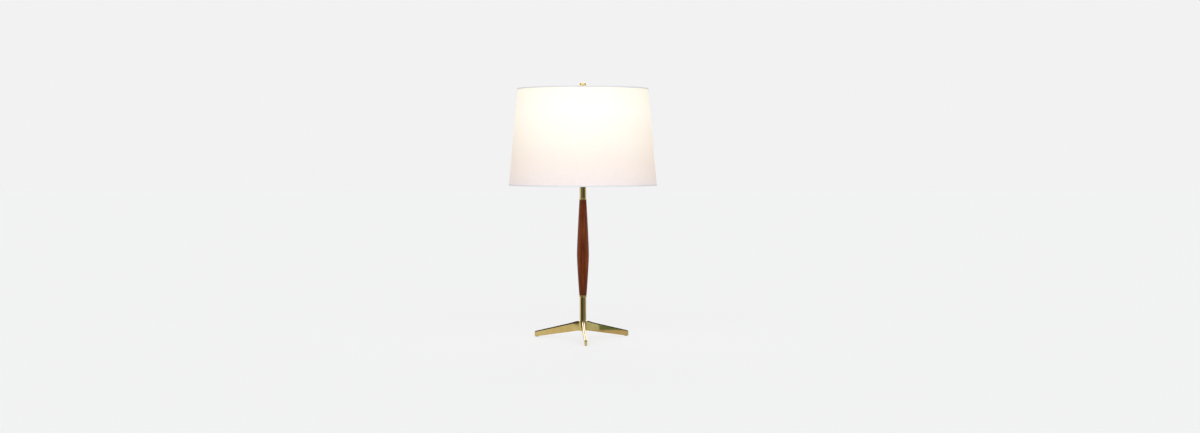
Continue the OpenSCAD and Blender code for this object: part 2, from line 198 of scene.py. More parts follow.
# %% [markdown]
# ## The studio
# The picture has one pale grey from edge to edge, with no horizon. The world gives that grey to
# the camera, and a softer white to light the lamp. The floor mixes the same grey with a real
# surface, so that the feet keep a faint shadow. Polished brass shows what is round it: in the
# picture the tubes are dark in the middle and pale at their edges, so the room in front was dark
# and the table pale. The legs' rounded top edges are dark too, and the front leg's top is white,
# so the ceiling was dark and a bright wall stood behind. A dark sloping beam on each side of that
# wall keeps it out of the rear legs' edges. Reflections see all of this, and the camera and the
# light don't.

# %% The world
BACKDROP = (0.888, 0.888, 0.888)
DARK_CEILING, BRIGHT_WALL = (0.035, 0.038, 0.04), (2.6, 2.6, 3.3)
BEAM_FROM, BEAM_TO = 0.46, 0.70
world = bpy.data.worlds.new("studio")
scene.world = world
world.use_nodes = True
tree = world.node_tree
tree.nodes.clear()
rays = add(tree, "ShaderNodeLightPath").outputs
direction = parts_of(tree, add(tree, "ShaderNodeTexCoord").outputs["Generated"])
wall = remap(tree, direction["Y"], 0.0, 1.0, 0.68, 0.78)
aside = calculate(tree, "DIVIDE", calculate(tree, "ABSOLUTE", direction["X"]),
                  calculate(tree, "MAXIMUM", direction["Z"], 0.01))
beam = between(tree, aside, BEAM_FROM, BEAM_TO, 0.04)
wall = calculate(tree, "MULTIPLY", wall, calculate(tree, "SUBTRACT", 1.0, beam))
overhead = blend_colours(tree, wall, DARK_CEILING, BRIGHT_WALL)
above_table = remap(tree, direction["Z"], 0.0, 1.0, 0.05, 0.12)
mirrored = blend_colours(tree, above_table, BACKDROP, overhead)
seen = add(tree, "ShaderNodeBackground")
connect(tree, blend_colours(tree, rays["Is Glossy Ray"], BACKDROP, mirrored), seen.inputs["Color"])
lighting = add(tree, "ShaderNodeBackground", {"Color": (1, 1, 1, 1), "Strength": 0.50})
direct = calculate(tree, "MAXIMUM", rays["Is Camera Ray"], rays["Is Glossy Ray"])
direct = calculate(tree, "MAXIMUM", direct, rays["Is Transmission Ray"])
either = add(tree, "ShaderNodeMixShader")
connect(tree, direct, either.inputs["Fac"])
connect(tree, lighting.outputs["Background"], either.inputs[1])
connect(tree, seen.outputs["Background"], either.inputs[2])
connect(tree, either.outputs["Shader"], add(tree, "ShaderNodeOutputWorld").inputs["Surface"])

# %% The floor
def link_mesh(name, bm):
    """Makes an object of a finished mesh and puts it into the scene."""
    mesh = bpy.data.meshes.new(name)
    bm.to_mesh(mesh)
    bm.free()
    made = bpy.data.objects.new(name, mesh)
    scene.collection.objects.link(made)
    return made


def bare_material(name):
    """A new material without any nodes, and its tree."""
    material = bpy.data.materials.new(name)
    material.use_nodes = True
    material.node_tree.nodes.clear()
    return material, material.node_tree


FLOOR_HALF = 15
FLAT_SHARE = 0.75
bm = bmesh.new()
bmesh.ops.create_grid(bm, x_segments=1, y_segments=1, size=FLOOR_HALF)
floor = link_mesh("floor", bm)
floor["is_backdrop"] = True
material, tree = bare_material("pale_floor")
rays = add(tree, "ShaderNodeLightPath").outputs
surface = add(tree, "ShaderNodeBsdfDiffuse", {"Color": (0.86, 0.86, 0.86, 1)})
plain = add(tree, "ShaderNodeEmission", {"Color": (0.926, 0.923, 0.916, 1)})
table = add(tree, "ShaderNodeEmission")
to_right = remap(tree, parts_of(tree)["X"], 0, 1, 0.02, 0.15)
connect(tree, blend_colours(tree, to_right, (0.72, 0.70, 0.66), (0.56, 0.50, 0.44)),
        table.inputs["Color"])
in_metal = add(tree, "ShaderNodeMixShader")
connect(tree, rays["Is Glossy Ray"], in_metal.inputs["Fac"])
connect(tree, plain.outputs["Emission"], in_metal.inputs[1])
connect(tree, table.outputs["Emission"], in_metal.inputs[2])
share = calculate(tree, "MAXIMUM", rays["Is Camera Ray"], rays["Is Transmission Ray"])
share = calculate(tree, "MULTIPLY", share, FLAT_SHARE)
share = calculate(tree, "MAXIMUM", share, rays["Is Glossy Ray"])
mixed = add(tree, "ShaderNodeMixShader")
connect(tree, share, mixed.inputs["Fac"])
connect(tree, surface.outputs["BSDF"], mixed.inputs[1])
connect(tree, in_metal.outputs["Shader"], mixed.inputs[2])
connect(tree, mixed.outputs["Shader"], add(tree, "ShaderNodeOutputMaterial").inputs["Surface"])
floor.data.materials.append(material)

# %% The dark room in front, for reflections only
def only_in_reflections(name, bm, brightness):
    """A stage card that glows with a dim colour and that only reflections see."""
    card = link_mesh(name, bm)
    card.visible_camera = card.visible_diffuse = card.visible_shadow = False
    card.visible_transmission = card.visible_volume_scatter = False
    card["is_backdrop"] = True
    material, tree = bare_material(name)
    glow = add(tree, "ShaderNodeEmission")
    connect(tree, brightness(tree), glow.inputs["Color"])
    connect(tree, glow.outputs["Emission"], add(tree, "ShaderNodeOutputMaterial").inputs["Surface"])
    card.data.materials.append(material)


def standing_card(centre, width, low, high, turn=0):
    """A flat card on edge from one height to another. It faces -Y before its turn about Z."""
    bm = bmesh.new()
    place = (Matrix.Translation((*centre, (low + high) / 2))
             @ Matrix.Rotation(math.radians(turn), 4, "Z") @ Matrix.Rotation(math.pi / 2, 4, "X")
             @ Matrix.Diagonal((width, high - low, 1, 1)))
    bmesh.ops.create_grid(bm, x_segments=1, y_segments=1, size=0.5, matrix=place)
    return bm


def room_tones(tree):
    """A dark room: a dim window on each side, a pale lamp, and the table near the front leg."""
    place = parts_of(tree)
    colour = (0.040, 0.042, 0.044)
    for x, z, tone in (((0.0, 9, 0.06), (-1, 0.15, 0.15), (0.15, 0.16, 0.18)),
                       ((-9, 0.02, 0.07), (0.30, 9, 0.15), (0.15, 0.16, 0.17)),
                       ((0.14, 0.24, 0.03), (0.25, 0.33, 0.03), (0.62, 0.63, 0.74)),
                       ((-0.011, 0.025, 0.004), (-1, 0.012, 0.003), (0.72, 0.70, 0.66))):
        patch = calculate(tree, "MULTIPLY", between(tree, place["X"], *x),
                          between(tree, place["Z"], *z))
        colour = blend_colours(tree, patch, colour, tone)
    return colour


ROOM_Y, ROOM_WIDTH, OFF_FLOOR, ROOM_TOP = -0.19, 0.66, 0.0005, 0.62
WING_R, WING_STARTS, WING_SPAN = 0.38, (-74, 60), 14
bm = standing_card((0, ROOM_Y), ROOM_WIDTH, OFF_FLOOR, ROOM_TOP)
for start in WING_STARTS:
    spot = Matrix.Rotation(math.radians(start), 3, "Z") @ Vector((0, -WING_R, 0))
    ends = [bm.verts.new((spot.x, spot.y, z)) for z in (OFF_FLOOR, ROOM_TOP)]
    bmesh.ops.spin(bm, geom=ends + [bm.edges.new(ends)], cent=(0, 0, 0), axis=(0, 0, 1),
                   angle=math.radians(WING_SPAN), steps=6)
only_in_reflections("dark_room", bm, room_tones)


def bright_tones(tree):
    """Warm white that is a little uneven, for the finial."""
    uneven = noise(tree, stretched(tree, (40, 40, 40)), detail=2)
    return ramp(tree, uneven, [(0.3, (1.20, 1.22, 1.34)), (0.7, (1.32, 1.34, 1.48))])


HOOD_REACH, HOOD_LOW, HOOD_TOP = 0.12, 0.648, 0.82
bm = standing_card((0, -HOOD_REACH), 0.8, HOOD_LOW, HOOD_TOP)
bmesh.ops.create_grid(bm, x_segments=1, y_segments=1, size=HOOD_REACH,
                      matrix=Matrix.Translation((0, 0, HOOD_TOP)))
only_in_reflections("finial_card", bm, bright_tones)


# The right leg's side mirrors a spot 24 degrees in front of the +X axis
SIDE_TURN, SIDE_WIDTH, SIDE_DISTANCE, SIDE_TOP = 66, 0.12, 0.205, 0.042


def side_tones(tree):
    """Pale near the lamp's axis and olive green further out, with soft edges."""
    along = parts_of(tree, stretched(tree, (1, 1, 1), turn=-SIDE_TURN))["X"]
    out = remap(tree, along, 0.0, 1.0, 0.037, 0.042)
    uneven = noise(tree, stretched(tree, (30, 30, 160)), detail=3)
    olive = ramp(tree, uneven, [(0.35, (0.10, 0.17, 0.11)), (0.65, (0.16, 0.23, 0.15))])
    pale = ramp(tree, uneven, [(0.35, (0.50, 0.56, 0.56)), (0.65, (0.62, 0.68, 0.66))])
    return blend_colours(tree, out, pale, olive)


facing = Matrix.Rotation(math.radians(SIDE_TURN - 90), 3, "Z")
spot = facing @ Vector((SIDE_DISTANCE, SIDE_WIDTH / 2, 0))
only_in_reflections("side_card", standing_card((spot.x, spot.y), SIDE_WIDTH, OFF_FLOOR, SIDE_TOP,
                                               SIDE_TURN), side_tones)

# %% [markdown]
# ## Lamps
# Flat soft light: the world does half of the work, and a soft lamp on each side in front does the
# rest. A third lamp does the same for the back. All three are sun lamps: they light the whole
# floor evenly, so it keeps one grey, and their wide angle keeps the shadow soft. The front lamps
# are a little cool, as daylight is beside the warm glow of the shade. Together they bring a white
# card in front of the lamp just to white.

# %% Place the lamps
def soft_lamp(name, azimuth, elevation, strength, colour=(0.91, 0.98, 1.13)):
    """Even light from one direction, as soft as a large umbrella, that metal doesn't mirror."""
    data = bpy.data.lights.new(name, "SUN")
    data.energy, data.angle = strength, math.radians(50)
    data.color = colour
    lamp = bpy.data.objects.new(name, data)
    lamp.rotation_euler = (math.radians(90 - elevation), 0, math.radians(azimuth))
    lamp.visible_glossy = lamp.visible_camera = False
    scene.collection.objects.link(lamp)


LAMP_UP, LAMP_STRENGTH = 30, 0.90
soft_lamp("left_lamp", -25, LAMP_UP, LAMP_STRENGTH)
soft_lamp("right_lamp", 25, LAMP_UP, LAMP_STRENGTH)
soft_lamp("back_lamp", 180, LAMP_UP, LAMP_STRENGTH, colour=(1, 1, 1))

# %% [markdown]
# ## Mesh helpers
# Most of this lamp is turned or drawn: a profile goes round an axis, or a circle goes along a
# line. So two helpers make most pieces. A third rounds whatever edges are sharp, because a real
# edge always has a small radius that catches the light. A fourth keeps large flat faces flat in
# the light. The last one puts a finished mesh into the scene as a piece that moves with one of the
# solids' bodies.

# %% Helpers that make meshes
def turn_profile(bm, points, closed=True, about=(0, 0), steps=128, hold=0.6):
    """Spins a profile of (radius, height) round an upright axis that passes through about.

    A long straight run gets a ring near each end, hold away from it. Rounding the ends then bends
    the shading only up to that ring, and the run between the rings mirrors the room truly.
    """
    line = []
    for (r, z), (far_r, far_z) in zip(points, points[1:] + points[:1]):
        run = math.hypot(far_r - r, far_z - z)
        line.append((r, z))
        if hold and run > 4 * hold:
            line += [(r + (far_r - r) * t, z + (far_z - z) * t)
                     for t in (hold / run, 1 - hold / run)]
    if not closed:
        line = line[:line.index(points[-1]) + 1]
    verts = [bm.verts.new(((about[0] + r) * MM, about[1] * MM, z * MM)) for r, z in line]
    edges = [bm.edges.new(pair) for pair in zip(verts, verts[1:])]
    if closed:
        edges.append(bm.edges.new((verts[-1], verts[0])))
    bmesh.ops.spin(bm, geom=verts + edges, cent=(about[0] * MM, about[1] * MM, 0), axis=(0, 0, 1),
                   angle=math.tau, steps=steps, use_merge=True)
    bmesh.ops.remove_doubles(bm, verts=bm.verts, dist=1e-7)


def round_edges(bm, radius, sharper_than=30):
    edges = [e for e in bm.edges
             if len(e.link_faces) == 2 and e.calc_face_angle(0) > math.radians(sharper_than)]
    bmesh.ops.bevel(bm, geom=edges, offset=radius * MM, offset_type="OFFSET", segments=3,
                    profile=0.5, affect="EDGES", material=-1, clamp_overlap=True)


def hold_flats(bm, larger_than, rim=0.15):
    """Sets a narrow rim inside each large face, so that it stays flat in the light."""
    flats = [f for f in bm.faces if f.calc_area() > larger_than * MM * MM]
    bmesh.ops.inset_individual(bm, faces=flats, thickness=rim * MM, use_even_offset=True)


def draw_wire(bm, points, radius, sides=24):
    """Takes a circle along a line of points, with a cap on both ends."""
    points = [Vector(p) * MM for p in points]
    along = [(b - a).normalized() for a, b in zip(points, points[1:])]
    along = [along[0]] + [(a + b).normalized() for a, b in zip(along, along[1:])] + [along[-1]]
    turn = along[0].to_track_quat("Z", "Y").to_matrix().to_4x4()
    here = Matrix.Translation(points[0]) @ turn
    ring = bmesh.ops.create_circle(bm, cap_ends=True, segments=sides, radius=radius * MM,
                                   matrix=here)
    edges = list({e for v in ring["verts"] for e in v.link_edges})
    for i in range(1, len(points)):
        turn = along[i - 1].rotation_difference(along[i]).to_matrix().to_4x4() @ turn
        there = Matrix.Translation(points[i]) @ turn
        grown = bmesh.ops.extrude_edge_only(bm, edges=edges)["geom"]
        verts = [g for g in grown if isinstance(g, bmesh.types.BMVert)]
        edges = [g for g in grown if isinstance(g, bmesh.types.BMEdge)
                 and all(v in verts for v in g.verts)]
        bmesh.ops.transform(bm, verts=verts, matrix=there @ here.inverted())
        here = there
    bmesh.ops.contextual_create(bm, geom=edges)


def put_in(name, bm, body, material, stands_for=(), crease=35):
    """Makes the mesh a piece that rides on a body, and hides the solids that it stands for."""
    bmesh.ops.remove_doubles(bm, verts=bm.verts, dist=1e-7)
    bmesh.ops.recalc_face_normals(bm, faces=bm.faces)
    piece = link_mesh(name, bm)
    mesh = piece.data
    mesh.polygons.foreach_set("use_smooth", [True] * len(mesh.polygons))
    mesh.set_sharp_from_angle(angle=math.radians(crease))
    mesh.materials.append(material)
    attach(piece, body)
    if stands_for:
        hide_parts(*stands_for)
    print(name, len(mesh.polygons), "faces")
    return piece

# %% [markdown]
# ## Polished brass
# The legs, hub, tubes and finial are solid brass, buffed bright and lacquered. Buffing leaves fine
# lines: round the axis on a turned piece, along the length of a blade. Handling leaves slightly
# duller patches. Both are faint, so they go into roughness and a bump of a few microns, and the
# colour only drifts between two close golds.

# %% Brass finish
def polished_brass(name, across, turn=0.0, base=(0.77, 0.60, 0.25), deep=(0.70, 0.52, 0.19),
                   gloss=(0.055, 0.11)):
    """Brass with buffing lines, which run along the axes where across is small."""
    material, tree, shader = finish_of(name, metallic=1.0)
    lines = noise(tree, stretched(tree, across, turn), detail=2)
    patches = noise(tree, stretched(tree, (55, 55, 38), turn), detail=4)
    connect(tree, blend_colours(tree, remap(tree, patches, 0, 1, 0.38, 0.68), base, deep),
            shader.inputs["Base Color"])
    both = calculate(tree, "ADD", calculate(tree, "MULTIPLY", lines, 0.5),
                     calculate(tree, "MULTIPLY", patches, 0.5))
    connect(tree, remap(tree, both, *gloss), shader.inputs["Roughness"])
    raise_surface(tree, shader, lines, 0.004)
    return material


turned_brass = polished_brass("turned_brass", (60, 60, 2600), base=(0.78, 0.64, 0.27),
                              deep=(0.71, 0.56, 0.21))

# %% [markdown]
# ## The three legs
# Each leg is a flat bar on edge, cut to a long taper and brazed to the hub. One could keep the
# solid, but its edges are razor sharp and would never glint. So the blade is made again: the
# outline is one face, it is extruded to the blade's thickness and its bend is eased over a long
# radius. The two top edges are rounded until they almost meet, as the thin dark line along them in
# the picture shows, and the other edges get 0.45 mm. The buffing lines run along the blade, so
# each leg has its own turn.

# %% Make the legs
LEG_TURNS = {"front": -87, "right": 33, "left": 153}
LEG_OUTLINE = [(9.3, 22.3), (130, 1.5), (140, 1.5), (140, 14.4), (38, 39.9), (14.5, 47.1),
               (9.3, 47.3)]
LEG_BENDS = ((38, 9), (14.5, 3))
LEG_T = 6.5
CREST_R = 3.2
for side, azimuth in LEG_TURNS.items():
    bm = bmesh.new()
    verts = [bm.verts.new((r * MM, -LEG_T / 2 * MM, z * MM)) for r, z in LEG_OUTLINE]
    grown = bmesh.ops.extrude_face_region(bm, geom=[bm.faces.new(verts)])["geom"]
    bmesh.ops.translate(bm, verts=[g for g in grown if isinstance(g, bmesh.types.BMVert)],
                        vec=(0, LEG_T * MM, 0))
    bmesh.ops.recalc_face_normals(bm, faces=bm.faces)
    for bend_r, ease in LEG_BENDS:
        bends = [e for e in bm.edges if abs(e.verts[0].co.y - e.verts[1].co.y) > 1e-4
                 and abs(e.verts[0].co.x - bend_r * MM) < 1e-4]
        bmesh.ops.bevel(bm, geom=bends, offset=ease * MM, offset_type="OFFSET", segments=6,
                        profile=0.5, affect="EDGES", material=-1)
    bm.normal_update()
    crests = [e for e in bm.edges if e.calc_face_angle(0) > 1.2
              and max(f.normal.z for f in e.link_faces) > 0.9]
    bmesh.ops.bevel(bm, geom=crests, offset=CREST_R * MM, offset_type="OFFSET", segments=6,
                    profile=0.5, affect="EDGES", material=-1)
    round_edges(bm, 0.45, sharper_than=40)
    hold_flats(bm, larger_than=60)
    bmesh.ops.rotate(bm, verts=bm.verts, cent=(0, 0, 0),
                     matrix=Matrix.Rotation(math.radians(azimuth), 3, "Z"))
    put_in("leg_blade_" + side, bm, "stand",
           polished_brass("brass_leg_" + side, (45, 900, 1900), -azimuth), ["leg_" + side])

# %% [markdown]
# ## Felt under the feet
# A strip of tan felt stops each leg from marking the table. Felt is matted wool: it has no thread
# direction, only soft lumps and stray fibres, so two sizes of noise drive colour and bump, and
# sheen gives the pale fuzz that it has at a low angle.

# %% Make the pads
felt, tree, shader = finish_of("tan_felt", roughness=0.95, sheen_weight=0.5, sheen_roughness=0.4)
fibres = noise(tree, stretched(tree, (2600, 2600, 2600)), detail=5, rough=0.7)
connect(tree, ramp(tree, fibres, [(0.3, (0.30, 0.22, 0.12)), (0.7, (0.48, 0.38, 0.23))]),
        shader.inputs["Base Color"])
raise_surface(tree, shader, fibres, 0.25)

PAD_R, PAD_SIZE = 135, (8, 5.5, 1.5)
bm = bmesh.new()
for azimuth in LEG_TURNS.values():
    bmesh.ops.create_cube(bm, size=1, matrix=Matrix.Rotation(math.radians(azimuth), 4, "Z")
                          @ Matrix.Translation((PAD_R * MM, 0, PAD_SIZE[2] / 2 * MM))
                          @ Matrix.Diagonal((*(side * MM for side in PAD_SIZE), 1)))
upright = [e for e in bm.edges if abs(e.verts[0].co.z - e.verts[1].co.z) > 1e-4]
bmesh.ops.bevel(bm, geom=upright, offset=2 * MM, offset_type="OFFSET", segments=5, profile=0.5,
                affect="EDGES", material=-1)
round_edges(bm, 0.3, sharper_than=40)
put_in("felt_pads", bm, "stand", felt, ["foot_pads"])

# %% [markdown]
# ## The hub, tubes, ferrules and check ring
# All are turned on a lathe from brass bar or tube, so each is one profile spun round the column's
# axis. The hub is hollow underneath for the nut. The lower ferrule has a small groove, as the
# rings on such lamps have. The upper one widens in two steps towards the wood. Their walls are
# upright, so they stay dark in front: a sloping wall would mirror the bright inside of the shade.

# %% Turn the hub and tubes
BORE, TUBE_R = 5.2, 8.5
bm = bmesh.new()
turn_profile(bm, [(BORE, 29.3), (8.3, 29.3), (8.3, 22), (9.9, 22), (10.5, 22.6), (10.5, 46.9),
                  (9.9, 47.5), (8.55, 47.5), (8.55, 44.5), (BORE, 44.5)])
round_edges(bm, 0.25)
put_in("turned_hub", bm, "stand", turned_brass, ["hub"])

for name, low, high in (("lower_tube", 44.6, 111.1), ("upper_tube", 361.5, 421.0)):
    bm = bmesh.new()
    turn_profile(bm, [(TUBE_R - 1, low), (TUBE_R, low), (TUBE_R, high), (TUBE_R - 1, high)])
    round_edges(bm, 0.2)
    put_in("drawn_" + name, bm, "stand", turned_brass, [name])

# %% Turn the ferrules and the ring
bm = bmesh.new()
turn_profile(bm, [(TUBE_R, 109.3), (9.4, 109.3), (9.9, 109.9), (9.9, 111.0), (9.5, 111.3),
                  (9.5, 111.6), (10, 111.9), (10, 113.1), (9.6, 113.7), (BORE, 113.7),
                  (BORE, 111.2), (TUBE_R, 111.2)])
round_edges(bm, 0.15, sharper_than=20)
put_in("turned_lower_ferrule", bm, "stand", turned_brass, ["lower_ferrule"])

bm = bmesh.new()
turn_profile(bm, [(BORE, 358.9), (9.55, 358.9), (9.75, 359.1), (9.75, 361.7), (9.6, 361.9),
                  (9.2, 361.9), (9.1, 362.0), (9.1, 363.6), (8.9, 363.8), (TUBE_R, 363.8),
                  (TUBE_R, 361.4), (BORE, 361.4)], hold=0.3)
round_edges(bm, 0.1, sharper_than=30)
put_in("turned_upper_ferrule", bm, "stand", turned_brass, ["upper_ferrule"])

bm = bmesh.new()
turn_profile(bm, [(TUBE_R, 419.6), (9.6, 419.6), (10, 420.0), (10, 423.6), (9.5, 424.1),
                  (5.0, 424.1), (5.0, 421.1), (TUBE_R, 421.1)])
round_edges(bm, 0.2)
put_in("turned_check_ring", bm, "stand", turned_brass, ["check_ring"])

# %% [markdown]
# ## The wood column
# The column is turned from one straight blank of walnut, given a red-brown stain and lacquered to
# a satin gloss. Wood isn't a picture wrapped round a shape: growth rings run through the whole
# blank. So the pattern is worked out in space, as rings round a pith that lies outside the column,
# stretched along the height, with thin dark pores drawn out the same way. Where the lathe cuts
# across the rings, the bands open and close on their own. The colour darkens towards the two ends.
# A clear coat carries the gloss.

# %% Walnut finish
WOOD_LOW, WOOD_HIGH, BELLY, BELLY_R = 113.7, 358.9, 218.7, 15.6
PITH, RINGS_PER_METRE = (0.046, 0.020), 300


def lacquered_walnut():
    material, tree, shader = finish_of("lacquered_walnut", coat_weight=0.35, coat_roughness=0.1,
                                       specular_ior_level=0.08)
    wander = noise(tree, stretched(tree, (26, 26, 3.2)), detail=3)
    place = parts_of(tree)
    sides = [calculate(tree, "ADD", place[axis], away) for axis, away in zip("XY", PITH)]
    squares = [calculate(tree, "MULTIPLY", side, side) for side in sides]
    radius = calculate(tree, "SQRT", calculate(tree, "ADD", *squares))
    rings = calculate(tree, "ADD", calculate(tree, "MULTIPLY", radius, RINGS_PER_METRE),
                      calculate(tree, "MULTIPLY", wander, 5.5))
    late = calculate(tree, "POWER", calculate(tree, "FRACT", rings), 2.2)
    streaks = noise(tree, stretched(tree, (270, 270, 11)), detail=3)
    pores = noise(tree, stretched(tree, (1500, 1500, 42)), detail=2, rough=0.6)
    base = ramp(tree, remap(tree, streaks, 0, 1, 0.36, 0.64), [
        (0.0, (0.088, 0.015, 0.0026)), (0.5, (0.148, 0.029, 0.0050)),
        (1.0, (0.215, 0.049, 0.0095))])
    banded = blend_colours(tree, calculate(tree, "MULTIPLY", late, 0.45), base,
                           (0.070, 0.012, 0.0022))
    patchy = blend_colours(tree, remap(tree, wander, 0, 0.35), banded, (0.205, 0.047, 0.010))
    # The colour darkens towards both ends of the column
    ends = calculate(tree, "MAXIMUM", remap(tree, place["Z"], 0.62, 0, WOOD_LOW * MM, 0.190),
                     remap(tree, place["Z"], 0, 0.50, 0.325, WOOD_HIGH * MM))
    darker_at_ends = blend_colours(tree, ends, patchy, (0.078, 0.014, 0.0022))
    hole = remap(tree, pores, 1, 0, 0.34, 0.42)
    connect(tree, blend_colours(tree, calculate(tree, "MULTIPLY", hole, 0.7), darker_at_ends,
                                (0.030, 0.006, 0.002)), shader.inputs["Base Color"])
    connect(tree, remap(tree, streaks, 0.26, 0.36), shader.inputs["Roughness"])
    raise_surface(tree, shader, hole, -0.03)
    return material


# %% Turn the column
LOWER_TAPER, UPPER_TAPER, SWELL = 6.15, 6.6, 1.3


def wood_radius(z):
    """Half the column's width at a height: fullest at the belly, thin at both ends."""
    if z < BELLY:
        return BELLY_R - LOWER_TAPER * (1 - (z - WOOD_LOW) / (BELLY - WOOD_LOW)) ** SWELL
    return BELLY_R - UPPER_TAPER * ((z - BELLY) / (WOOD_HIGH - BELLY)) ** SWELL


bm = bmesh.new()
levels = [WOOD_LOW + (WOOD_HIGH - WOOD_LOW) * i / 72 for i in range(73)]
turn_profile(bm, [(BORE, WOOD_LOW)] + [(wood_radius(z), z) for z in levels] + [(BORE, WOOD_HIGH)],
             hold=0)
round_edges(bm, 0.35, sharper_than=50)
put_in("turned_column", bm, "stand", lacquered_walnut(), ["wood_column"])
print("column", 2 * BELLY_R, "mm at its belly")

# %% [markdown]
# ## The finial
# The knob that holds the shade down is turned from brass bar: a foot, a thin neck, a round drum
# and a small button on top. It is one profile with a blind hole for the stud's thread.

# %% Turn the finial
bm = bmesh.new()
turn_profile(bm, [(3.15, 634.0), (5.4, 634.0), (6, 634.6), (6, 636.0), (5.2, 636.9), (4.75, 638.4),
                  (4.6, 640.5), (4.6, 645.4), (4.9, 647.0), (5.6, 648.2), (5.6, 650.0),
                  (7.3, 650.6), (8.3, 651.8), (8.6, 653.4), (8.6, 655.6), (8.3, 657.2),
                  (7.2, 658.5), (5.4, 659.0), (1.8, 659.0), (1.8, 659.6), (1.2, 660.0),
                  (0, 660.0), (0, 647.2), (3.15, 647.2)], closed=False)
bmesh.ops.bridge_loops(bm, edges=[e for e in bm.edges if len(e.link_faces) == 1])
round_edges(bm, 0.3, sharper_than=22)
put_in("turned_finial", bm, "finial", turned_brass, ["finial"])

# %% [markdown]
# ## The harp
# The harp is hard brass-plated steel wire, bent into a loop that springs into two prongs beside
# the socket. A circle drawn along the bends gives it. Two short sleeves slide down over the wire
# and the prongs and lock them. The stud on top is a turned disc with a thread, and the thread is a
# real helix: a profile one pitch high is spun twelve times round while it climbs.

# %% Plated brass, and the harp's wire
plated_brass = polished_brass("plated_brass", (60, 60, 1500), base=(0.70, 0.54, 0.24),
                              deep=(0.60, 0.44, 0.18), gloss=(0.2, 0.32))


def arc(x, z, radius, start, end, count=8):
    """Points of an arc in the XZ plane."""
    angles = [math.radians(start + (end - start) * i / count) for i in range(count + 1)]
    return [(x + radius * math.cos(a), 0, z + radius * math.sin(a)) for a in angles]


half = ([(25.35, 0, 434.3), (25.35, 0, 448.0)] + arc(55.35, 463.1, 30, 180, 150)
        + arc(25, 530.53, 30, -30, 0) + arc(15, 588, 40, 0, 90, 14))
loop = [(-x, y, z) for x, y, z in half] + half[::-1]
bm = bmesh.new()
draw_wire(bm, loop, 1.8)
round_edges(bm, 0.35, sharper_than=60)
put_in("harp_wire", bm, "stand", plated_brass, ["harp"])

# %% Stud, saddle and sleeves
def cut_thread(bm, radius, depth, low, pitch, turns, steps=32):
    """A thread's flank: one pitch of profile that climbs as it goes round."""
    shape = [(radius - depth, 0), (radius - depth, 0.12), (radius, 0.42), (radius, 0.58),
             (radius - depth, 0.88), (radius - depth, 1.0)]
    verts = [bm.verts.new((r * MM, 0, (low + z * pitch) * MM)) for r, z in shape]
    edges = [bm.edges.new(pair) for pair in zip(verts, verts[1:])]
    bmesh.ops.spin(bm, geom=verts + edges, cent=(0, 0, 0), axis=(0, 0, 1),
                   dvec=(0, 0, pitch * MM / steps), angle=math.tau * turns, steps=steps * turns)


bm = bmesh.new()
turn_profile(bm, [(0, 628.6), (7.6, 628.6), (8, 629.1), (8, 631.3), (7.6, 631.8), (2.75, 631.8),
                  (2.75, 644.9), (2.3, 645.3), (0, 645.3)], closed=False, steps=64)
round_edges(bm, 0.15, sharper_than=50)
cut_thread(bm, 3.05, 0.4, 632.2, 1.0, 12)
put_in("threaded_stud", bm, "stand", plated_brass, ["harp_stud"])

for side, x in (("left", -24.3), ("right", 24.3)):
    bm = bmesh.new()
    turn_profile(bm, [(3.15, 432.1), (3.8, 432.1), (3.95, 432.4), (3.95, 433.3), (3.7, 433.8),
                      (3.7, 444.4), (3.95, 444.9), (3.95, 445.8), (3.8, 446.1), (3.15, 446.1)],
                 about=(x, 0), steps=48)
    round_edges(bm, 0.12)
    put_in("ferrule_sleeve_" + side, bm, side + "_sleeve", plated_brass,
           ["sleeve_" + side])

# %% [markdown]
# ## The shade's cloth
# Fine white linen is glued to a stiff plastic liner. A cone unrolls into a flat fan, and that fan
# is how the cloth is cut, so its threads are square only in the middle of the front and lean
# towards the back seam. The fan's own flat coordinates become the UV map, and the weave follows
# them. The bulb is lit, and its light through the cloth is painted on as a glow: most beside the
# bulb, fading to a warm grey towards the lower rim. The painted glow is a colour that depends on
# height alone, so it is the same from every side. Only the lap at the back has less painted glow,
# because the cloth is double there.

# %% Sizes of the shade, and its layers
SHADE_LOW, SHADE_TOP, SHADE_R = 396.6, 644.6, 190
SHADE_H, DRAWN_IN = 248, 22.5


def shade_radius(z, depth=0.0):
    """The shade's outer radius at a height, less a depth."""
    return SHADE_R - (z - SHADE_LOW) * DRAWN_IN / SHADE_H - depth


def shade_wall(bm, near, far, rows=16):
    """One layer of the shade between two depths, as a thin closed wall."""
    low, high = SHADE_LOW + 0.4, SHADE_TOP - 0.4
    levels = [low + (high - low) * i / rows for i in range(rows + 1)]
    turn_profile(bm, [(shade_radius(z, near), z) for z in levels]
                 + [(shade_radius(z, far), z) for z in reversed(levels)], steps=192, hold=0)


def unroll(bm):
    """Gives each corner its place on the flat fan that the cone unrolls to, in metres."""
    layer = bm.loops.layers.uv.new("flat_cut")
    lean = DRAWN_IN / math.hypot(DRAWN_IN, SHADE_H)
    for face in bm.faces:
        middle = face.calc_center_median()
        around = math.atan2(middle.x, -middle.y)
        for corner in face.loops:
            co = corner.vert.co
            angle = math.atan2(co.x, -co.y)
            if abs(angle - around) > math.pi:
                angle += math.copysign(math.tau, around)
            reach = math.hypot(co.x, co.y) / lean
            corner[layer].uv = (reach * math.sin(angle * lean), -reach * math.cos(angle * lean))

# %% Linen finish
# A wave texture of scale 1 repeats every 0.314 m
WAVE_REPEAT = 0.314


def height_share(tree):
    """0 at the shade's lower rim and 1 at its upper rim."""
    return remap(tree, parts_of(tree)["Z"], 0, 1, SHADE_LOW * MM, SHADE_TOP * MM)


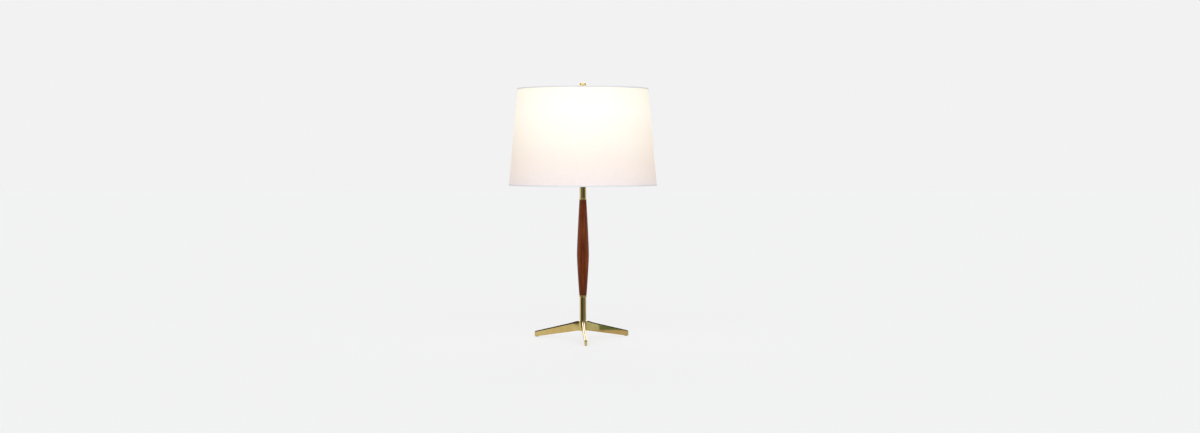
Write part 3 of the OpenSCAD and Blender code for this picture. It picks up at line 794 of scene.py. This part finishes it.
def woven(tree, pitch):
    """Over-and-under threads of a plain weave, from the cloth's flat coordinates."""
    flat = add(tree, "ShaderNodeUVMap", uv_map="flat_cut").outputs["UV"]
    threads = []
    for direction in "XY":
        wave = add(tree, "ShaderNodeTexWave", {
            "Scale": WAVE_REPEAT / (pitch * MM), "Distortion": 1.2, "Detail": 1,
            "Detail Scale": 0.35}, bands_direction=direction)
        connect(tree, flat, wave.inputs["Vector"])
        threads.append(wave.outputs["Fac"])
    slubs = [noise(tree, stretched(tree, scale, source=flat), detail=2)
             for scale in ((40, 900, 1), (900, 40, 1))]
    return calculate(tree, "MAXIMUM", *threads), calculate(tree, "ADD", *slubs)


def linen_with_painted_glow(name, painted_glow_strength):
    material, tree, shader = finish_of(name, roughness=0.88, sheen_weight=0.12, sheen_roughness=0.5,
                                       specular_ior_level=0.2, emission_strength=painted_glow_strength)
    weave, slubs = woven(tree, 0.55)
    uneven = remap(tree, slubs, 0, 1, 0.8, 1.2)
    connect(tree, ramp(tree, uneven, [(0, (0.66, 0.645, 0.63)), (1, (0.71, 0.695, 0.68))]),
            shader.inputs["Base Color"])
    # Painted light: the bulb's light through the cloth, as an emission colour that depends on
    # height
    glow = ramp(tree, height_share(tree), [
        (0.0, (0.275, 0.18, 0.125)), (0.25, (0.36, 0.24, 0.125)), (0.5, (0.44, 0.345, 0.20)),
        (0.75, (0.51, 0.44, 0.29)), (1.0, (0.48, 0.42, 0.25))])
    # Painted shade: the glow is dimmer where thick slubs would let less light through
    painted_glow_dimmed_at_slubs = blend_colours(tree, remap(tree, slubs, 0, 0.12, 0.8, 1.2), glow, (0.20, 0.15, 0.12))
    connect(tree, painted_glow_dimmed_at_slubs, shader.inputs["Emission Color"])
    slubs = calculate(tree, "MULTIPLY", slubs, 0.6)
    raise_surface(tree, shader, calculate(tree, "ADD", weave, slubs), 0.12)
    return material


bm = bmesh.new()
shade_wall(bm, 0.4, 0.88)
unroll(bm)
linen = linen_with_painted_glow("linen_with_painted_glow", 1.0)
cloth = put_in("shade_cloth", bm, "shade", linen, ["shade_fabric"])

# %% The overlap at the back, where the cloth's ends meet
LAP_ANGLE, BACK = 3.4, 90
bm = bmesh.new()
verts = [bm.verts.new((shade_radius(z, d) * MM, 0, z * MM))
         for z, d in ((399.8, 0.42), (399.8, 0.05), (641.4, 0.05), (641.4, 0.42))]
edges = [bm.edges.new((verts[i], verts[(i + 1) % 4])) for i in range(4)]
bmesh.ops.contextual_create(bm, geom=edges)
bmesh.ops.spin(bm, geom=bm.verts[:] + bm.edges[:] + bm.faces[:], cent=(0, 0, 0), axis=(0, 0, 1),
               angle=math.radians(LAP_ANGLE), steps=4)
bmesh.ops.rotate(bm, verts=bm.verts, cent=(0, 0, 0),
                 matrix=Matrix.Rotation(math.radians(BACK - LAP_ANGLE / 2), 3, "Z"))
unroll(bm)
# The doubled cloth gets a weaker painted glow: painted shade where less light passes
lap = put_in("shade_cloth_lap", bm, "shade", linen_with_painted_glow("doubled_linen_weaker_painted_glow", 0.72))

# %% [markdown]
# ## Liner and hems
# The liner is smooth white styrene, close to the bulb, and the bulb's light on it is painted as a
# glow, most at the bulb's height. The hems are tape of the same cloth, folded over each rim and
# over the wire inside it. Four layers let little light through, so they get no painted glow and
# show as thin grey lines, as the picture has them.

# %% Styrene and tape finishes
styrene, tree, shader = finish_of("styrene_liner_painted_glow", roughness=0.45, specular_ior_level=0.4,
                                  emission_strength=1.0)
cloudy = noise(tree, stretched(tree, (9, 9, 9)), detail=3)
connect(tree, ramp(tree, cloudy, [(0.35, (0.72, 0.70, 0.665)), (0.7, (0.78, 0.765, 0.73))]),
        shader.inputs["Base Color"])
# Painted light: the bulb's glow on the liner, brightest at the bulb's height
connect(tree, ramp(tree, height_share(tree), [
    (0.0, (0.26, 0.20, 0.12)), (0.35, (0.36, 0.29, 0.18)), (0.62, (0.48, 0.42, 0.28)),
    (0.8, (0.42, 0.36, 0.23)), (1.0, (0.32, 0.26, 0.16))]), shader.inputs["Emission Color"])
grain = noise(tree, stretched(tree, (1400, 1400, 1400)), detail=3)
connect(tree, remap(tree, grain, 0.38, 0.55), shader.inputs["Roughness"])
raise_surface(tree, shader, grain, 0.02)

hem_tape, tree, shader = finish_of("hem_tape", roughness=0.9, sheen_weight=0.1, sheen_roughness=0.5,
                                   specular_ior_level=0.2)
weave, slubs = woven(tree, 0.45)
uneven = remap(tree, slubs, 0, 1, 0.8, 1.2)
connect(tree, ramp(tree, uneven, [(0, (0.74, 0.715, 0.695)), (1, (0.84, 0.815, 0.795))]),
        shader.inputs["Base Color"])
raise_surface(tree, shader, weave, 0.08)

# %% Make the liner and the hems
bm = bmesh.new()
shade_wall(bm, 0.92, 1.5)
put_in("shade_liner_sheet", bm, "shade", styrene, ["shade_liner"])

# The fold's outline, as depths behind the outside and heights above the rim
FOLD = [(0.0, 0.45), (0.0, 3.0), (0.12, 3.2), (0.38, 3.2), (0.4, 0.42), (4.7, 0.42), (4.7, 8.9),
        (4.8, 9.0), (5.0, 9.0), (5.1, 8.9), (5.1, 0.45), (4.75, 0.08), (4.4, 0.0), (0.7, 0.0),
        (0.3, 0.1)]
for name, rim, way in (("bottom_hem", SHADE_LOW, 1), ("top_hem", SHADE_TOP, -1)):
    bm = bmesh.new()
    turn_profile(bm, [(shade_radius(rim + way * h, d), rim + way * h) for d, h in FOLD],
                 steps=192)
    unroll(bm)
    put_in(name + "_tape", bm, "shade", hem_tape, [name], crease=50)

# %% [markdown]
# ## The bulb
# A frosted bulb is lit, so its glass is the light itself: brightest at the middle, where the wire
# is, and a little dimmer at the crown and neck. Its screw cap is rolled aluminium with a round
# thread, made as the stud's was. Under the cap are black glass and a soldered contact.

# %% Bulb finishes and the screw cap
frosted, tree, shader = finish_of("frosted_glass", roughness=0.4, coat_weight=0.3,
                                  coat_roughness=0.08, emission_strength=1.0)
speckle = noise(tree, stretched(tree, (900, 900, 900)), detail=3)
connect(tree, ramp(tree, speckle, [(0.3, (0.60, 0.585, 0.55)), (0.7, (0.67, 0.655, 0.62))]),
        shader.inputs["Base Color"])
connect(tree, ramp(tree, remap(tree, parts_of(tree)["Z"], 0, 1, 0.491, 0.572), [
    (0.0, (0.16, 0.10, 0.05)), (0.35, (0.36, 0.28, 0.17)), (0.62, (0.46, 0.40, 0.29)),
    (1.0, (0.34, 0.27, 0.17))]), shader.inputs["Emission Color"])
raise_surface(tree, shader, speckle, 0.02)

aluminium, tree, shader = finish_of("rolled_aluminium", metallic=1.0)
marks = noise(tree, stretched(tree, (120, 120, 1700)), detail=3)
connect(tree, ramp(tree, marks, [(0.35, (0.70, 0.70, 0.69)), (0.65, (0.83, 0.83, 0.82))]),
        shader.inputs["Base Color"])
connect(tree, remap(tree, marks, 0.24, 0.42), shader.inputs["Roughness"])
raise_surface(tree, shader, marks, 0.01)

bm = bmesh.new()
turn_profile(bm, [(9.6, 469.4), (11.9, 469.4), (12.3, 470.0), (12.3, 490.2), (12.9, 490.6),
                  (13.0, 491.2), (12.6, 491.2), (12.0, 490.6), (12.0, 470.4), (9.6, 469.8)],
             steps=96)
cut_thread(bm, 13.05, 0.85, 470.6, 3.6, 5, steps=48)
put_in("bulb_screw_cap", bm, "bulb", aluminium, ["bulb_cap"])

# %% [markdown]
# ## Finishes of the pieces that keep their solids
# Inside the shade and the hub are small pieces whose solids already have the right shape. Each
# gets the finish that it has on a real lamp: zinc on the steel pipe and nut, nickel on the
# contacts, pressed fibre, moulded phenolic, nylon, fused glass and white powder paint on the
# spider's wire. The socket's cap is the exception. Its bowl is polished, and flat facets would
# show in it, so it is spun again with a finer curve.

# %% Metals
def plated(name, first, second, gloss, scale):
    material, tree, shader = finish_of(name, metallic=1.0)
    cells = add(tree, "ShaderNodeTexVoronoi", {"Scale": scale})
    connect(tree, stretched(tree, (1, 1, 1)), cells.inputs["Vector"])
    tone = calculate(tree, "MULTIPLY", cells.outputs["Distance"], 0.8)
    wear = noise(tree, stretched(tree, (180, 180, 180)), detail=4)
    mixed = remap(tree, calculate(tree, "ADD", tone, wear), 0, 1, 0.5, 1.2)
    connect(tree, blend_colours(tree, mixed, first, second), shader.inputs["Base Color"])
    connect(tree, remap(tree, wear, *gloss), shader.inputs["Roughness"])
    raise_surface(tree, shader, wear, 0.01)
    return material, tree, shader


zinc = plated("zinc_plate", (0.62, 0.64, 0.66), (0.76, 0.76, 0.73), (0.3, 0.5), 600)[0]
nickel = plated("nickel_plate", (0.70, 0.67, 0.62), (0.80, 0.78, 0.74), (0.14, 0.28), 350)[0]
tungsten = plated("tungsten_wire", (0.36, 0.34, 0.31), (0.48, 0.45, 0.42), (0.35, 0.5), 900)[0]
socket_brass = polished_brass("socket_brass", (60, 60, 1800), gloss=(0.14, 0.24))

# A pipe's thread, as a pattern: the height plus a share of the turn, taken round and round
pipe_zinc, tree, shader = plated("threaded_zinc", (0.60, 0.62, 0.64), (0.74, 0.74, 0.71),
                                 (0.3, 0.5), 600)
place = parts_of(tree)
around = calculate(tree, "ARCTAN2", place["Y"], place["X"])
climb = calculate(tree, "ADD", calculate(tree, "MULTIPLY", place["Z"], 1000),
                  calculate(tree, "DIVIDE", around, math.tau))
raise_surface(tree, shader, calculate(tree, "PINGPONG", climb, 0.5), 0.5)

# %% Spin the socket's cap
NECK_R, CAP_R, SHEET = 7, 17.3, 0.8
BOWL_TOP, BOWL_H = 442.1, 11


def bowl_curve(depth):
    """The bowl from its neck to its rim, at a depth inside its outer face."""
    angles = [math.radians(a) for a in range(0, 91, 6)]
    return [(NECK_R - depth + (CAP_R - NECK_R) * math.sin(a),
             BOWL_TOP - (BOWL_H - depth) * math.cos(a)) for a in angles]


bm = bmesh.new()
turn_profile(bm, [(5.1, 425.7), (NECK_R, 425.7)] + bowl_curve(0)
             + [(CAP_R, 449.1), (CAP_R - SHEET, 449.1)] + bowl_curve(SHEET)[::-1]
             + [(5.1, 431.9)])
round_edges(bm, 0.2, sharper_than=50)
put_in("spun_socket_cap", bm, "stand", socket_brass, ["socket_cap"])

# %% Plastics, fibre, paint and glass
def moulded(name, first, second, gloss, scale, depth, **sockets):
    """A finish whose colour, gloss and surface all follow one noise."""
    material, tree, shader = finish_of(name, **sockets)
    grain = noise(tree, stretched(tree, (scale, scale, scale)), detail=4, rough=0.6)
    connect(tree, ramp(tree, grain, [(0.32, first), (0.68, second)]), shader.inputs["Base Color"])
    connect(tree, remap(tree, grain, *gloss), shader.inputs["Roughness"])
    raise_surface(tree, shader, grain, depth)
    return material


nylon = moulded("moulded_nylon", (0.72, 0.69, 0.60), (0.82, 0.79, 0.71), (0.35, 0.5), 700, 0.02,
                subsurface_weight=0.1)
fibre = moulded("pressed_fibre", (0.30, 0.19, 0.10), (0.46, 0.33, 0.20), (0.7, 0.9), 1100, 0.06)
phenolic = moulded("moulded_phenolic", (0.022, 0.016, 0.013), (0.05, 0.036, 0.028), (0.22, 0.36),
                   500, 0.01)
knob_black = moulded("knob_plastic", (0.016, 0.015, 0.014), (0.03, 0.028, 0.027), (0.16, 0.3),
                     800, 0.008)
insulator = moulded("fused_glass", (0.012, 0.012, 0.02), (0.03, 0.03, 0.045), (0.08, 0.18),
                    400, 0.02)
white_paint = moulded("powder_paint", (0.70, 0.69, 0.65), (0.78, 0.77, 0.73), (0.4, 0.55),
                      1600, 0.03)
clear_glass = moulded("clear_glass", (0.90, 0.93, 0.92), (0.96, 0.98, 0.97), (0.02, 0.08),
                      300, 0.01, transmission_weight=0.9, ior=1.5)

# %% Give each remaining solid its finish
KEPT = {
    zinc: ["pipe_washer", "pipe_nut", "cap_screw"], pipe_zinc: ["threaded_pipe"],
    nylon: ["cord_bushing"], plated_brass: ["harp_saddle", "centre_contact"],
    socket_brass: ["socket_shell"], fibre: ["shell_liner"], phenolic: ["socket_body"],
    nickel: ["screw_shell", "terminal_screws", "switch_stem", "bulb_contact"],
    knob_black: ["switch_knob"], frosted: ["bulb_glass"], clear_glass: ["bulb_stem"],
    tungsten: ["bulb_filament"], insulator: ["bulb_insulator"],
    white_paint: ["spider_washer", "arm_back", "arm_left", "arm_right", "top_ring", "bottom_ring"],
}
for material, names in KEPT.items():
    for name in names:
        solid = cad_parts[name]
        solid.data.materials.clear()
        solid.data.materials.append(material)
shown = [n for n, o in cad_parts.items() if not o.hide_render]
missed = sorted(set(shown) - {n for names in KEPT.values() for n in names})
print("solids that show:", len(shown), "without a finish:", missed)

# %% [markdown]
# ## The dressed lamp's size
# The dressed lamp has to fill the same box as the solids. Its size is printed here.

# %% Print the dressed size
low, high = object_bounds()
print("dressed size mm:", [round(v / MM, 1) for v in high - low])
